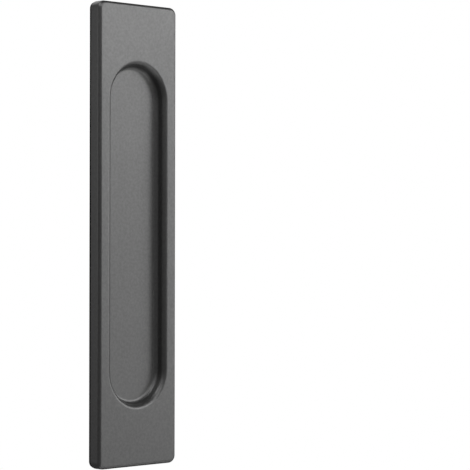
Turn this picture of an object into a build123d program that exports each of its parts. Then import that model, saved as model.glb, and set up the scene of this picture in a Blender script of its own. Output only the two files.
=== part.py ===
"""Self-adhesive sliding door pull.

A flat metal plate with a blind, round-ended finger recess in its face, and the
foam adhesive pad that covers its back. The pull stands upright as it is fixed
on a door: +Z is up along its length, its face looks towards -Y, and the
adhesive side of the pad lies on the plane Y = 0, which is the door's surface.
The origin is at the middle of that adhesive side.
"""

import os

from build123d import *

# Plate sizes, in millimetres
plate_length = 180.0
plate_width = 40.0
plate_thickness = 5.2
plate_corner_radius = 3.0
front_edge_radius = 1.4
back_edge_radius = 0.2

# Finger recess sizes, measured on its walls before the rim is rounded
recess_length = 132.6
recess_width = 27.3
recess_depth = 4.5
recess_wall_draft = 7.0
recess_rim_radius = 2.0
recess_floor_radius = 1.7

# Foam adhesive pad sizes
pad_thickness = 1.1
pad_inset = 0.3

# Planes that both pieces are built on, each facing the front
door_plane = Plane.XZ
plate_back_plane = door_plane.offset(pad_thickness)
plate_front_plane = plate_back_plane.offset(plate_thickness)


# Plate, cut as one piece with its recess
with BuildPart() as pull_body:
    with BuildSketch(plate_back_plane) as plate_outline:
        RectangleRounded(plate_width, plate_length, plate_corner_radius)
    extrude(amount=plate_thickness)
    front_face = pull_body.faces().sort_by(Axis.Y)[0]
    fillet(front_face.edges(), front_edge_radius)
    back_face = pull_body.faces().sort_by(Axis.Y)[-1]
    fillet(back_face.edges(), back_edge_radius)

    # The recess narrows towards its floor, as a die or a tapered cutter leaves it
    with BuildSketch(plate_front_plane) as recess_mouth:
        SlotOverall(recess_length, recess_width, rotation=90)
    extrude(amount=-recess_depth, taper=recess_wall_draft, mode=Mode.SUBTRACT)

    # The corner between wall and floor is hollow, and the rim is rounded over
    floor_face = pull_body.faces().filter_by(Axis.Y).sort_by(Axis.Y)[1]
    fillet(floor_face.edges(), recess_floor_radius)
    front_face = pull_body.faces().sort_by(Axis.Y)[0]
    fillet(front_face.inner_wires()[0].edges(), recess_rim_radius)

pull_body.part.label = "pull_body"


# Foam pad, set in from the plate's edge all round
with BuildPart() as adhesive_pad:
    with BuildSketch(door_plane) as pad_outline:
        RectangleRounded(
            plate_width - 2 * pad_inset,
            plate_length - 2 * pad_inset,
            plate_corner_radius - pad_inset,
        )
    extrude(amount=pad_thickness)

adhesive_pad.part.label = "adhesive_pad"


os.makedirs("parts", exist_ok=True)
export_step(pull_body.part, "parts/pull_body.step")
export_step(adhesive_pad.part, "parts/adhesive_pad.step")
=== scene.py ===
"""Dresses the self-adhesive sliding door pull for its picture.

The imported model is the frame, so every piece built here stands where its CAD node
stands: +Z is up along the pull, its face looks towards -Y and its adhesive side
lies on Y = 0. The plate is swept from two sections, one through its finger recess
and one through its outer edge. The foam pad behind it is shaped from a block. Each
has a procedural finish, and a plain studio with soft lights stands round them.

A piece is modelled in millimetres and turned into metres when it is finished. The
studio is in metres throughout.
"""

import logging
import math
from dataclasses import dataclass, field
from enum import Enum

import bmesh
import bpy
from mathutils import Matrix, Vector


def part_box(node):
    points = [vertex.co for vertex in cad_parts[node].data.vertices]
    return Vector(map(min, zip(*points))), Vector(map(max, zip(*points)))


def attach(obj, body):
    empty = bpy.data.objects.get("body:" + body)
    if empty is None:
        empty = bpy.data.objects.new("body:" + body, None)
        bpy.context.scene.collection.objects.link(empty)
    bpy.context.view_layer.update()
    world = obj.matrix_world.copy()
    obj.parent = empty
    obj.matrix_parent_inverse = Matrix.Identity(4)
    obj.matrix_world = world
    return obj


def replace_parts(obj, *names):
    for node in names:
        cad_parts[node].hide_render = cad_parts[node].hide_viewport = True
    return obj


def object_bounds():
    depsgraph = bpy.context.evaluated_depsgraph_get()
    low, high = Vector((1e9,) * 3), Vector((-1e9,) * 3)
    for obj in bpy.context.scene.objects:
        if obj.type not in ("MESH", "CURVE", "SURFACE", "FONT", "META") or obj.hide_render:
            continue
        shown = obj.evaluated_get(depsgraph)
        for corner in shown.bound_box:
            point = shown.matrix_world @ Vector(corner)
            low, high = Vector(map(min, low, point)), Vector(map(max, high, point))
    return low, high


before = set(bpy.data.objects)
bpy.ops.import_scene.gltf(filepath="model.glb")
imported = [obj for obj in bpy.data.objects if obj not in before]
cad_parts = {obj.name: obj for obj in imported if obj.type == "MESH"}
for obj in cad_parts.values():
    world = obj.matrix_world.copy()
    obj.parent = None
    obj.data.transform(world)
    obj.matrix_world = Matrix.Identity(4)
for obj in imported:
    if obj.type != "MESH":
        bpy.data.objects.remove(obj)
cad_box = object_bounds()

log = logging.getLogger("sliding_door_pull")

MM = 0.001
INTO_THE_DOOR = (0.0, 1.0, 0.0)
# Points closer than this are one point, in millimetres
WELD_DISTANCE = 0.002
# A pattern's values between these two spread over a finish's range, and those beyond are cut off
PATTERN_LOW = 0.3
PATTERN_HIGH = 0.7
# How far large faces lead the shading: 50 goes by their area alone, and more favours the large ones
FLATS_LEAD = 90
WHITE = (1.0, 1.0, 1.0, 1.0)
BLACK = (0.0, 0.0, 0.0, 1.0)


class MirrorAxis(Enum):
    """The two directions in which the pull is the same on both sides of its middle."""

    ACROSS = "X"
    ALONG = "Z"


class Rounded(Enum):
    """What a bevel rounds: the corners of a wire section or the edges of a solid."""

    CORNERS = "VERTICES"
    EDGES = "EDGES"


class FinishTree:
    """A new material and its node tree, with short calls to add and join nodes."""

    def __init__(self, name: str) -> None:
        """Starts the material with its Principled shader.

        Args:
            name: The material's name, in a maker's words.
        """
        self.material = bpy.data.materials.new(name)
        self.material.use_nodes = True
        self.nodes = self.material.node_tree.nodes
        self.links = self.material.node_tree.links
        self.shader = self.nodes["Principled BSDF"]
        self.place = self.add("ShaderNodeTexCoord").outputs["Object"]

    def add(self, kind: str, **values: float) -> bpy.types.Node:
        """Adds one node.

        Args:
            kind: The node's type.
            values: Values of its inputs, by their names in small letters with _ for a space.

        Returns:
            The new node.
        """
        node = self.nodes.new(kind)
        for name, value in values.items():
            node.inputs[name.replace("_", " ").title()].default_value = value
        return node

    def join(self, source: bpy.types.NodeSocket, target: bpy.types.NodeSocket) -> None:
        """Links an output to an input."""
        self.links.new(source, target)

    def dress(self, quality: str, source: bpy.types.NodeSocket) -> None:
        """Links an output to the shader's input of that name."""
        self.join(source, self.shader.inputs[quality])

    def noise(self, grain: float, octaves: float) -> bpy.types.NodeSocket:
        """Adds a noise that varies over the surface.

        Args:
            grain: The size of one grain, in millimetres.
            octaves: How many finer octaves it carries.

        Returns:
            The noise's value, about 0.5 on average.
        """
        node = self.add("ShaderNodeTexNoise", scale=1.0 / (grain * MM), detail=octaves)
        self.join(self.place, node.inputs["Vector"])
        return node.outputs["Fac"]

    def cells(self, size: float) -> bpy.types.NodeSocket:
        """Adds a pattern of cells.

        Args:
            size: The size of one cell, in millimetres.

        Returns:
            The distance from the middle of the nearest cell.
        """
        node = self.add("ShaderNodeTexVoronoi", scale=1.0 / (size * MM))
        self.join(self.place, node.inputs["Vector"])
        return node.outputs["Distance"]

    def vary(self, value: bpy.types.NodeSocket, middle: float, swing: float) -> bpy.types.NodeSocket:
        """Maps a pattern onto a range of its own.

        Args:
            value: The pattern.
            middle: The middle of the range.
            swing: How far the range goes down and up from there.

        Returns:
            The mapped value.
        """
        node = self.add(
            "ShaderNodeMapRange",
            from_min=PATTERN_LOW,
            from_max=PATTERN_HIGH,
            to_min=middle - swing,
            to_max=middle + swing,
        )
        self.join(value, node.inputs["Value"])
        return node.outputs["Result"]

    def grey(self, value: bpy.types.NodeSocket) -> bpy.types.NodeSocket:
        """Makes a neutral colour.

        Args:
            value: How bright it is, from 0 to 1.

        Returns:
            The colour.
        """
        node = self.add("ShaderNodeCombineColor")
        for channel in ("Red", "Green", "Blue"):
            self.join(value, node.inputs[channel])
        return node.outputs["Color"]

    def bump(self, height: bpy.types.NodeSocket, depth: float) -> bpy.types.NodeSocket:
        """Raises the surface's shading by a height.

        Args:
            height: The height, from 0 to 1.
            depth: How high 1 stands, in millimetres.

        Returns:
            The new normal.
        """
        node = self.add("ShaderNodeBump", distance=depth * MM)
        self.join(height, node.inputs["Height"])
        return node.outputs["Normal"]


@dataclass(frozen=True)
class SatinMetalFinish:
    """Blasted metal under a thin dark grey coat, satin all over.

    The grains and the depth are in millimetres.
    """

    shade: float = 0.30
    shade_swing: float = 0.024
    mottle_grain: float = 1.0
    mottle_octaves: float = 2.0
    roughness: float = 0.39
    roughness_swing: float = 0.02
    drift_grain: float = 26.0
    drift_octaves: float = 2.0
    blast_grain: float = 0.16
    blast_octaves: float = 1.0
    blast_depth: float = 0.004

    def build(self) -> bpy.types.Material:
        """Makes the plate's material.

        Returns:
            The material.
        """
        tree = FinishTree("satin_dark_grey_metal")
        tree.shader.inputs["Metallic"].default_value = 1.0
        mottle = tree.noise(self.mottle_grain, self.mottle_octaves)
        drift = tree.noise(self.drift_grain, self.drift_octaves)
        blasting = tree.noise(self.blast_grain, self.blast_octaves)
        tree.dress("Base Color", tree.grey(tree.vary(mottle, self.shade, self.shade_swing)))
        tree.dress("Roughness", tree.vary(drift, self.roughness, self.roughness_swing))
        tree.dress("Normal", tree.bump(blasting, self.blast_depth))
        return tree.material


@dataclass(frozen=True)
class FoamFinish:
    """Black closed-cell foam, as the pad's cut edge shows it.

    The size and the depth of its cells are in millimetres.
    """

    shade: float = 0.012
    shade_swing: float = 0.0048
    roughness: float = 0.85
    cell_size: float = 0.22
    cell_depth: float = 0.04

    def build(self) -> bpy.types.Material:
        """Makes the foam's material.

        Returns:
            The material.
        """
        tree = FinishTree("black_closed_cell_foam")
        hollow = tree.cells(self.cell_size)
        # The colour is darker towards the middle of each cell, where the bump sinks into a hollow: painted
        # shade in the cells.
        tree.dress("Base Color", tree.grey(tree.vary(hollow, self.shade, self.shade_swing)))
        tree.shader.inputs["Roughness"].default_value = self.roughness
        tree.dress("Normal", tree.bump(hollow, self.cell_depth))
        return tree.material


@dataclass(frozen=True)
class TackySkinFinish:
    """The adhesive film over the foam, smooth with a slight orange peel.

    The peel's grain and depth are in millimetres.
    """

    shade: float = 0.03
    shade_swing: float = 0.006
    roughness: float = 0.38
    roughness_swing: float = 0.06
    peel_grain: float = 1.1
    peel_octaves: float = 3.0
    peel_depth: float = 0.02

    def build(self) -> bpy.types.Material:
        """Makes the adhesive film's material.

        Returns:
            The material.
        """
        tree = FinishTree("tacky_adhesive_skin")
        peel = tree.noise(self.peel_grain, self.peel_octaves)
        tree.dress("Base Color", tree.grey(tree.vary(peel, self.shade, self.shade_swing)))
        tree.dress("Roughness", tree.vary(peel, self.roughness, self.roughness_swing))
        tree.dress("Normal", tree.bump(peel, self.peel_depth))
        return tree.material


def round_off(
    work: bmesh.types.BMesh,
    what: Rounded,
    sharp: list[bmesh.types.BMVert] | list[bmesh.types.BMEdge],
    reach: float,
    segments: int,
) -> None:
    """Rounds sharp corners or edges.

    Args:
        work: The mesh that they are in.
        what: Whether they are corners or edges.
        sharp: The corners or edges.
        reach: How far from each the round starts, in millimetres.
        segments: How many pieces the round has.
    """
    bmesh.ops.bevel(
        work,
        geom=sharp,
        offset=reach,
        offset_type="OFFSET",
        segments=segments,
        profile=0.5,
        affect=what.value,
        material=-1,
    )


def keep_flats_flat(piece: bpy.types.Object) -> None:
    """Lets large faces lead the shading, so that a round next to a flat doesn't tint it.

    Args:
        piece: The piece to shade.
    """
    modifier = piece.modifiers.new("flats_lead", "WEIGHTED_NORMAL")
    modifier.mode = "FACE_AREA"
    modifier.weight = FLATS_LEAD


def as_piece(name: str, work: bmesh.types.BMesh, materials: list[bpy.types.Material]) -> bpy.types.Object:
    """Makes a finished bmesh into a piece that rides on the part's one body.

    Args:
        name: The piece's name.
        work: The modelled mesh in millimetres, which is freed.
        materials: The piece's materials, in the order of their slots.

    Returns:
        The new object, at the origin with its place in its mesh.
    """
    bmesh.ops.recalc_face_normals(work, faces=work.faces)
    bmesh.ops.scale(work, vec=(MM, MM, MM), verts=work.verts)
    mesh = bpy.data.meshes.new(name)
    work.to_mesh(mesh)
    work.free()
    mesh.shade_smooth()
    for material in materials:
        mesh.materials.append(material)
    piece = bpy.data.objects.new(name, mesh)
    bpy.context.scene.collection.objects.link(piece)
    keep_flats_flat(piece)
    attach(piece, "root")
    return piece


class Section:
    """A wire section that is swept along an outline and leaves a surface behind it."""

    def __init__(self, work: bmesh.types.BMesh, corners: list[tuple[float, float]]) -> None:
        """Draws the section in the plane Z = 0.

        Args:
            work: The mesh that it goes into.
            corners: The section's sharp corners, as X and Y.
        """
        self.work = work
        self.older = set(work.verts)
        self.corners = [work.verts.new((x, y, 0.0)) for x, y in corners]
        for pair in zip(self.corners, self.corners[1:]):
            work.edges.new(pair)
        self.moving: list[bmesh.types.BMVert | bmesh.types.BMEdge] = []

    def round_corner(self, corner: int, tangent: float, segments: int) -> None:
        """Rounds one corner.

        Args:
            corner: The corner's place in the list.
            tangent: How far from the sharp corner the arc starts, in millimetres.
            segments: How many edges the arc has.
        """
        round_off(self.work, Rounded.CORNERS, [self.corners[corner]], tangent, segments)

    def divide(self, start: int, pieces: int) -> None:
        """Divides the straight edge that starts at a corner.

        Args:
            start: The corner's place in the list.
            pieces: How many edges it becomes.
        """
        edge = self.corners[start].link_edges[0]
        bmesh.ops.subdivide_edges(self.work, edges=[edge], cuts=pieces - 1)

    def finish_drawing(self) -> None:
        """Welds arcs that meet, and takes the whole section as what moves."""
        bmesh.ops.remove_doubles(self.work, verts=self._new_points(), dist=WELD_DISTANCE)
        self.moving = self._new_points() + self._new_edges()

    def push(self, across: float, along: float, steps: int) -> None:
        """Sweeps the section straight on.

        Args:
            across: How far it goes in X, in millimetres.
            along: How far it goes in Z, in millimetres.
            steps: How many faces long the surface is.
        """
        swept = bmesh.ops.spin(
            self.work,
            geom=self.moving,
            cent=(0.0, 0.0, 0.0),
            axis=INTO_THE_DOOR,
            dvec=(across / steps, 0.0, along / steps),
            angle=0.0,
            steps=steps,
        )
        self.moving = swept["geom_last"]

    def turn(self, centre: tuple[float, float], steps: int) -> None:
        """Sweeps the section a quarter turn, from the right-hand side to the top.

        Args:
            centre: The turn's centre, as X and Z.
            steps: How many faces long the surface is.
        """
        swept = bmesh.ops.spin(
            self.work,
            geom=self.moving,
            cent=(centre[0], 0.0, centre[1]),
            axis=INTO_THE_DOOR,
            angle=-math.pi / 2,
            steps=steps,
        )
        self.moving = swept["geom_last"]

    def open_edges_at(self, depth: float) -> list[bmesh.types.BMEdge]:
        """The swept surface's open edges that lie at one depth.

        Args:
            depth: The depth, as Y.

        Returns:
            Those edges, which the section's end has drawn.
        """
        return [
            edge
            for edge in self._new_edges()
            if edge.is_boundary and all(abs(vert.co.y - depth) < WELD_DISTANCE for vert in edge.verts)
        ]

    def _new_points(self) -> list[bmesh.types.BMVert]:
        """The points that the mesh has got since the section was begun."""
        return [vert for vert in self.work.verts if vert not in self.older]

    def _new_edges(self) -> list[bmesh.types.BMEdge]:
        """The edges that the mesh has got since then."""
        return [edge for edge in self.work.edges if not self.older.intersection(edge.verts)]


@dataclass
class PullPlate:
    """The metal plate with its finger recess, swept a quarter at a time.

    A quarter is the part to the right of the middle and above it. The section of
    the recess and the section of the outer edge are each swept along their own
    outline, the flat face is bridged between the two, and mirrors make the rest.
    The plate's own size is the CAD node's box, from low to high.
    """

    low: Vector
    high: Vector
    corner_radius: float = 3.0
    front_edge_radius: float = 1.4
    back_edge_radius: float = 0.2
    recess_length: float = 132.6
    recess_width: float = 27.3
    recess_depth: float = 4.5
    wall_draft: float = math.radians(7.0)
    rim_radius: float = 2.0
    floor_radius: float = 1.7
    round_segments: int = 10
    back_edge_segments: int = 3
    corner_steps: int = 8
    top_steps: int = 10
    side_steps: int = 14
    recess_side_steps: int = 8
    floor_strips: int = 4
    finish: SatinMetalFinish = field(default_factory=SatinMetalFinish)

    @property
    def recess_end_steps(self) -> int:
        """Steps round a quarter of the recess's end, so that both outlines have as many."""
        return self.side_steps + self.corner_steps + self.top_steps - self.recess_side_steps

    def build(self) -> bpy.types.Object:
        """Builds and dresses the plate.

        Returns:
            The plate, which stands for the CAD node pull_body.
        """
        work = bmesh.new()
        rim = self._sweep_recess(work)
        outline = self._sweep_outer_edge(work)
        bmesh.ops.bridge_loops(work, edges=rim + outline)
        for axis in MirrorAxis:
            everything = work.verts[:] + work.edges[:] + work.faces[:]
            bmesh.ops.mirror(work, geom=everything, axis=axis.value, merge_dist=0.0)
        bmesh.ops.remove_doubles(work, verts=work.verts, dist=WELD_DISTANCE)
        # What is still open is the outline of the flat back
        bmesh.ops.contextual_create(work, geom=[edge for edge in work.edges if edge.is_boundary])
        plate = as_piece("plate", work, [self.finish.build()])
        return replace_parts(plate, "pull_body")

    def _sweep_recess(self, work: bmesh.types.BMesh) -> list[bmesh.types.BMEdge]:
        """Sweeps the recess's section, from its middle line to its rim.

        Args:
            work: The mesh that it goes into.

        Returns:
            The edges along the rim, where the flat face begins.
        """
        front = self.low.y
        floor = front + self.recess_depth
        mouth = self.recess_width / 2
        foot = mouth - self.recess_depth * math.tan(self.wall_draft)
        half_turn = (math.pi / 2 - self.wall_draft) / 2
        rim_tangent = self.rim_radius * math.tan(half_turn)
        floor_tangent = self.floor_radius * math.tan(half_turn)
        end_centre = (self.recess_length - self.recess_width) / 2

        section = Section(work, [(0.0, floor), (foot, floor), (mouth, front), (mouth + rim_tangent, front)])
        section.round_corner(1, floor_tangent, self.round_segments)
        section.round_corner(2, rim_tangent, self.round_segments)
        section.divide(0, self.floor_strips)
        section.finish_drawing()
        section.push(0.0, end_centre, self.recess_side_steps)
        section.turn((0.0, end_centre), self.recess_end_steps)
        return section.open_edges_at(front)

    def _sweep_outer_edge(self, work: bmesh.types.BMesh) -> list[bmesh.types.BMEdge]:
        """Sweeps the outer edge's section, from the back to the flat face.

        Args:
            work: The mesh that it goes into.

        Returns:
            The edges along the outline, where the flat face ends.
        """
        front, back = self.low.y, self.high.y
        side, top = self.high.x, self.high.z
        back_start = (side - self.back_edge_radius, back)
        front_end = (side - self.front_edge_radius, front)
        corner_centre = (side - self.corner_radius, top - self.corner_radius)

        section = Section(work, [back_start, (side, back), (side, front), front_end])
        section.round_corner(1, self.back_edge_radius, self.back_edge_segments)
        section.round_corner(2, self.front_edge_radius, self.round_segments)
        section.finish_drawing()
        section.push(0.0, corner_centre[1], self.side_steps)
        section.turn(corner_centre, self.corner_steps)
        section.push(-corner_centre[0], 0.0, self.top_steps)
        return section.open_edges_at(front)


@dataclass
class FoamPad:
    """The double-sided foam pad, pressed flat so that its cut edge bulges a little.

    The pad's own size is the CAD node's box, from low to high. The skin is on the
    faces that look along Y to within skin_facing, and the rest is bare foam.
    """

    low: Vector
    high: Vector
    corner_radius: float = 2.7
    skin_edge_radius: float = 0.12
    bulge: float = 0.1
    corner_segments: int = 10
    skin_edge_segments: int = 3
    skin_facing: float = 0.99
    foam: FoamFinish = field(default_factory=FoamFinish)
    skin: TackySkinFinish = field(default_factory=TackySkinFinish)

    def build(self) -> bpy.types.Object:
        """Builds and dresses the pad.

        Returns:
            The pad, which stands for the CAD node adhesive_pad.
        """
        work = bmesh.new()
        bmesh.ops.create_cube(work, size=1.0)
        bmesh.ops.scale(work, vec=self.high - self.low, verts=work.verts)
        bmesh.ops.translate(work, vec=(self.low + self.high) / 2, verts=work.verts)
        corners = [edge for edge in work.edges if self._runs_into_the_door(edge)]
        round_off(work, Rounded.EDGES, corners, self.corner_radius, self.corner_segments)
        rims = [edge for edge in work.edges if not self._runs_into_the_door(edge)]
        round_off(work, Rounded.EDGES, rims, self.skin_edge_radius, self.skin_edge_segments)
        self._bulge_middle(work)
        for face in work.faces:
            face.material_index = int(abs(face.normal.y) > self.skin_facing)
        pad = as_piece("foam_pad", work, [self.foam.build(), self.skin.build()])
        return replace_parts(pad, "adhesive_pad")

    @staticmethod
    def _runs_into_the_door(edge: bmesh.types.BMEdge) -> bool:
        """Whether an edge goes from one of the pad's large faces to the other."""
        return abs(edge.verts[0].co.y - edge.verts[1].co.y) > WELD_DISTANCE

    def _bulge_middle(self, work: bmesh.types.BMesh) -> None:
        """Cuts a ring at half the pad's thickness and pushes it outwards.

        Args:
            work: The pad's mesh.
        """
        middle = (self.low + self.high) / 2
        cut = bmesh.ops.bisect_plane(
            work,
            geom=work.verts[:] + work.edges[:] + work.faces[:],
            plane_co=middle,
            plane_no=INTO_THE_DOOR,
            dist=WELD_DISTANCE,
        )
        ring = [item for item in cut["geom_cut"] if isinstance(item, bmesh.types.BMVert)]
        half = (self.high - self.low) / 2
        grow = Vector(((half.x + self.bulge) / half.x, 1.0, (half.z + self.bulge) / half.z))
        bmesh.ops.scale(work, vec=grow, verts=ring, space=Matrix.Translation(-middle))


@dataclass(frozen=True)
class Softbox:
    """A square soft light aimed at the middle of the pull.

    The bearing goes round from straight in front of the pull towards its right-hand
    side, and the rise is above the horizon, both in degrees. The power is in watts.
    One that doesn't glint lights matt surfaces and leaves no highlight on an edge.
    """

    name: str
    bearing: float
    rise: float
    power: float
    distance: float = 0.8
    side: float = 0.36
    glints: bool = True

    def build(self) -> bpy.types.Object:
        """Makes the light.

        Returns:
            The light's object.
        """
        lamp = bpy.data.lights.new(self.name, "AREA")
        lamp.shape = "SQUARE"
        lamp.size = self.side
        lamp.energy = self.power
        box = bpy.data.objects.new(self.name, lamp)
        bearing, rise = math.radians(self.bearing), math.radians(self.rise)
        outwards = Vector(
            (math.sin(bearing) * math.cos(rise), -math.cos(bearing) * math.cos(rise), math.sin(rise))
        )
        box.location = outwards * self.distance
        box.rotation_euler = outwards.to_track_quat("Z", "Y").to_euler()
        box.visible_glossy = self.glints
        bpy.context.scene.collection.objects.link(box)
        return box


@dataclass(frozen=True)
class Viewpoint:
    """Where the picture is taken from, level with the pull and from its left-hand side.

    The angles are in degrees, and the focal length and the film are in millimetres.
    """

    turn: float = 44.299
    tilt: float = 0.2262
    roll: float = 0.105
    place: tuple[float, float, float] = (-0.50461, -0.57712, -0.00292)
    focal_length: float = 149.76
    film_width: float = 36.0
    near_limit: float = 0.05

    def build(self) -> bpy.types.Object:
        """Makes the camera and gives it to the scene.

        Returns:
            The camera's object.
        """
        camera_data = bpy.data.cameras.new("picture_camera")
        camera_data.lens = self.focal_length
        camera_data.sensor_width = self.film_width
        camera_data.clip_start = self.near_limit
        camera = bpy.data.objects.new("picture_camera", camera_data)
        turn = Matrix.Rotation(-math.radians(self.turn), 4, "Z")
        # A new camera looks straight down, so it is raised by a quarter turn too
        tilt = Matrix.Rotation(math.pi / 2 + math.radians(self.tilt), 4, "X")
        roll = Matrix.Rotation(math.radians(self.roll), 4, "Z")
        camera.matrix_world = Matrix.Translation(self.place) @ turn @ tilt @ roll
        bpy.context.scene.collection.objects.link(camera)
        bpy.context.scene.camera = camera
        return camera


@dataclass
class Studio:
    """A plain white studio: a pale floor, soft lights and a dim room round them.

    The key lights stand to the right, where the flat face mirrors them into the
    camera, and the others give the edges, the recess and the back their tones.
    """

    floor_height: float
    floor_size: float = 6.0
    floor_gap: float = 0.0005
    room_glow: float = 0.072
    softboxes: tuple[Softbox, ...] = (
        Softbox("key_inner_upper", 36.0, 22.0, 0.478),
        Softbox("key_inner_level", 36.0, -2.0, 0.086),
        Softbox("key_inner_lower", 36.0, -15.0, 0.102),
        Softbox("key_outer_upper", 60.0, 10.0, 0.277),
        Softbox("key_outer_level", 60.0, -2.0, 0.223),
        Softbox("near_upper_right", 30.0, 36.0, 0.034, distance=0.35, side=0.2),
        Softbox("low_front", 12.0, -40.0, 0.25),
        Softbox("low_right", 60.0, -40.0, 0.16),
        Softbox("below", 0.0, -85.0, 0.18),
        Softbox("high_front", -12.0, 35.0, 0.369),
        Softbox("high_front_left", -60.0, 35.0, 0.228),
        Softbox("high_left", -84.0, 60.0, 0.581),
        Softbox("side_left", -120.0, 10.0, 0.15),
        Softbox("low_back_left", -135.0, -15.0, 0.027),
        Softbox("behind_high", 168.0, 30.0, 1.0, side=0.6),
        Softbox("behind_level", 158.0, 0.0, 8.0, distance=0.6, side=0.3, glints=False),
    )
    viewpoint: Viewpoint = field(default_factory=Viewpoint)

    def build(self) -> None:
        """Builds the floor, the room, the lights and the camera."""
        bpy.context.scene.view_settings.view_transform = "Standard"
        self._lay_floor()
        self._light_room()
        for softbox in self.softboxes:
            softbox.build()
        self.viewpoint.build()

    def _lay_floor(self) -> None:
        """Lays the floor, which shows as pale as the background and casts no light back."""
        work = bmesh.new()
        bmesh.ops.create_grid(work, x_segments=1, y_segments=1, size=self.floor_size / 2)
        bmesh.ops.translate(work, vec=(0.0, 0.0, self.floor_height - self.floor_gap), verts=work.verts)
        mesh = bpy.data.meshes.new("pale_floor")
        work.to_mesh(mesh)
        work.free()
        material = bpy.data.materials.new("pale_floor")
        material.use_nodes = True
        shader = material.node_tree.nodes["Principled BSDF"]
        shader.inputs["Base Color"].default_value = BLACK
        shader.inputs["Specular IOR Level"].default_value = 0.0
        shader.inputs["Emission Color"].default_value = WHITE
        shader.inputs["Emission Strength"].default_value = 1.0
        mesh.materials.append(material)
        floor = bpy.data.objects.new("pale_floor", mesh)
        floor.visible_diffuse = False
        floor.visible_glossy = False
        floor.visible_shadow = False
        bpy.context.scene.collection.objects.link(floor)

    def _light_room(self) -> None:
        """Makes the room white to look at and dim in what it throws on the pull."""
        world = bpy.data.worlds.new("white_studio")
        world.use_nodes = True
        bpy.context.scene.world = world
        nodes, links = world.node_tree.nodes, world.node_tree.links
        path = nodes.new("ShaderNodeLightPath")
        brightness = nodes.new("ShaderNodeMapRange")
        brightness.inputs["To Min"].default_value = self.room_glow
        links.new(path.outputs["Is Camera Ray"], brightness.inputs["Value"])
        background = nodes["Background"]
        background.inputs["Color"].default_value = WHITE
        links.new(brightness.outputs["Result"], background.inputs["Strength"])


def box_in_mm(node: str) -> tuple[Vector, Vector]:
    """A CAD node's lowest and highest corners.

    Args:
        node: The node's name.

    Returns:
        The two corners, in millimetres.
    """
    low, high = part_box(node)
    return low / MM, high / MM


def main() -> None:
    """Builds the plate, the pad and the studio, in that order."""
    logging.basicConfig(level=logging.INFO, format="%(name)s: %(message)s")
    for part in (PullPlate(*box_in_mm("pull_body")), FoamPad(*box_in_mm("adhesive_pad"))):
        piece = part.build()
        log.info("%s has %d faces", piece.name, len(piece.data.polygons))
    Studio(floor_height=cad_box[0].z).build()


if __name__ == "__main__":
    main()
